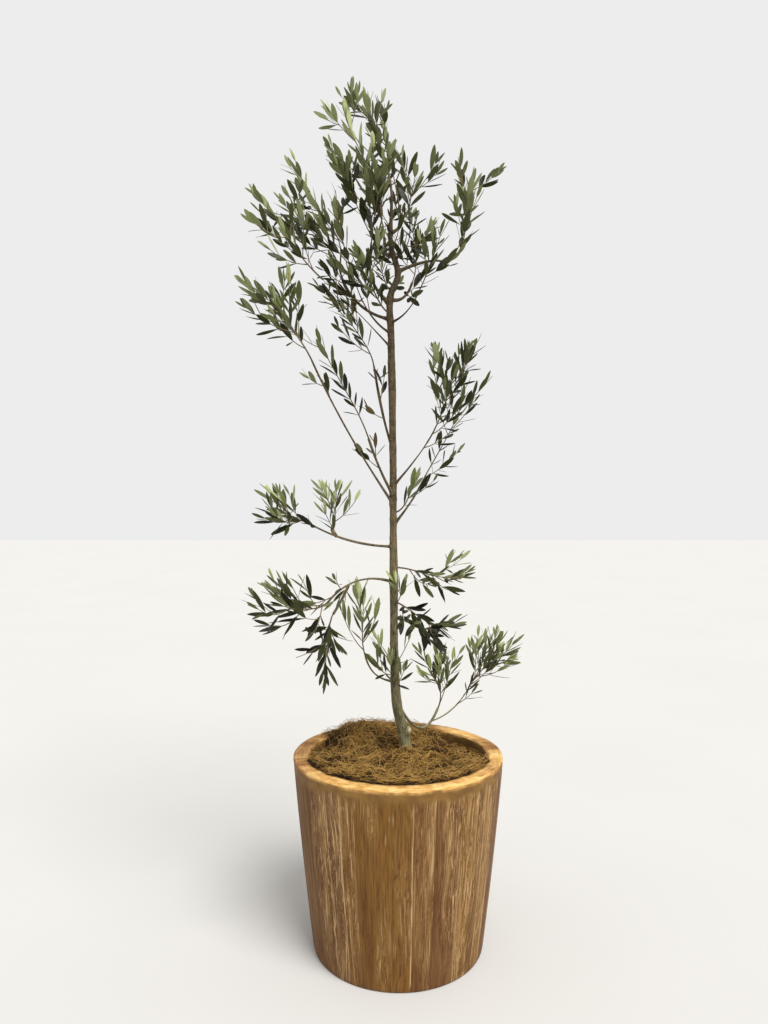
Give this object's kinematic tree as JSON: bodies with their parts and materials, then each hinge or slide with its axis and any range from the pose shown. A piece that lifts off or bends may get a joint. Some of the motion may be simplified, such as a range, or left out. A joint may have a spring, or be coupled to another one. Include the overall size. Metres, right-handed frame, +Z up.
{
  "type": "potted olive tree",
  "caption": "Young olive tree with one slim leaning trunk and an open crown of upright leafy shoots, in a round wooden planter topped with coconut fibre.",
  "frame": {"origin": "centre of the planter's flat underside, on the floor it stands on", "axes": "+Z up, along the tree's height; -Y towards the side seen in the picture; +X to the right as seen in it"},
  "size_m": [0.5863, 0.4137, 1.6725],
  "materials": {
    "limed_wood": "matte",
    "potting_soil": "matte",
    "coconut_fibre": "matte",
    "olive_bark": "matte",
    "olive_leaf": "satin"
  },
  "bodies": {
    "root": {"planter": "limed_wood", "soil": "potting_soil", "mulch": "coconut_fibre", "trunk": "olive_bark", "bough_top_left": "olive_bark", "bough_top_right": "olive_bark", "bough_right_shoulder": "olive_bark", "bough_crown_front": "olive_bark", "bough_crown_back": "olive_bark", "bough_crown_left": "olive_bark", "bough_back_right": "olive_bark", "bough_right_high": "olive_bark", "bough_right_under": "olive_bark", "bough_left_high": "olive_bark", "bough_left_tall": "olive_bark", "bough_left_upper": "olive_bark", "bough_left_middle": "olive_bark", "bough_left_inner": "olive_bark", "bough_inner_left": "olive_bark", "bough_right_middle": "olive_bark", "bough_right_behind": "olive_bark", "bough_left_low": "olive_bark", "bough_left_sprig": "olive_bark", "bough_left_lower": "olive_bark", "bough_left_under": "olive_bark", "bough_inner_low": "olive_bark", "bough_right_base": "olive_bark", "bough_right_outer": "olive_bark", "foliage_top_middle": "olive_leaf", "foliage_top_left": "olive_leaf", "foliage_top_right": "olive_leaf", "foliage_right_shoulder": "olive_leaf", "foliage_crown_front": "olive_leaf", "foliage_crown_back": "olive_leaf", "foliage_crown_left": "olive_leaf", "foliage_crown_inner": "olive_leaf", "foliage_back_right": "olive_leaf", "foliage_back_low": "olive_leaf", "foliage_right_high": "olive_leaf", "foliage_right_under": "olive_leaf", "foliage_left_high": "olive_leaf", "foliage_left_tall": "olive_leaf", "foliage_left_upper": "olive_leaf", "foliage_left_middle": "olive_leaf", "foliage_left_inner": "olive_leaf", "foliage_inner_left": "olive_leaf", "foliage_right_middle": "olive_leaf", "foliage_right_behind": "olive_leaf", "foliage_right_sprig": "olive_leaf", "foliage_left_low": "olive_leaf", "foliage_left_sprig": "olive_leaf", "foliage_left_lower": "olive_leaf", "foliage_left_under": "olive_leaf", "foliage_inner_low": "olive_leaf", "foliage_foot_shoot": "olive_leaf", "foliage_right_low": "olive_leaf", "foliage_right_lower": "olive_leaf", "foliage_right_base": "olive_leaf", "foliage_right_outer": "olive_leaf"}
  },
  "joints": []
}
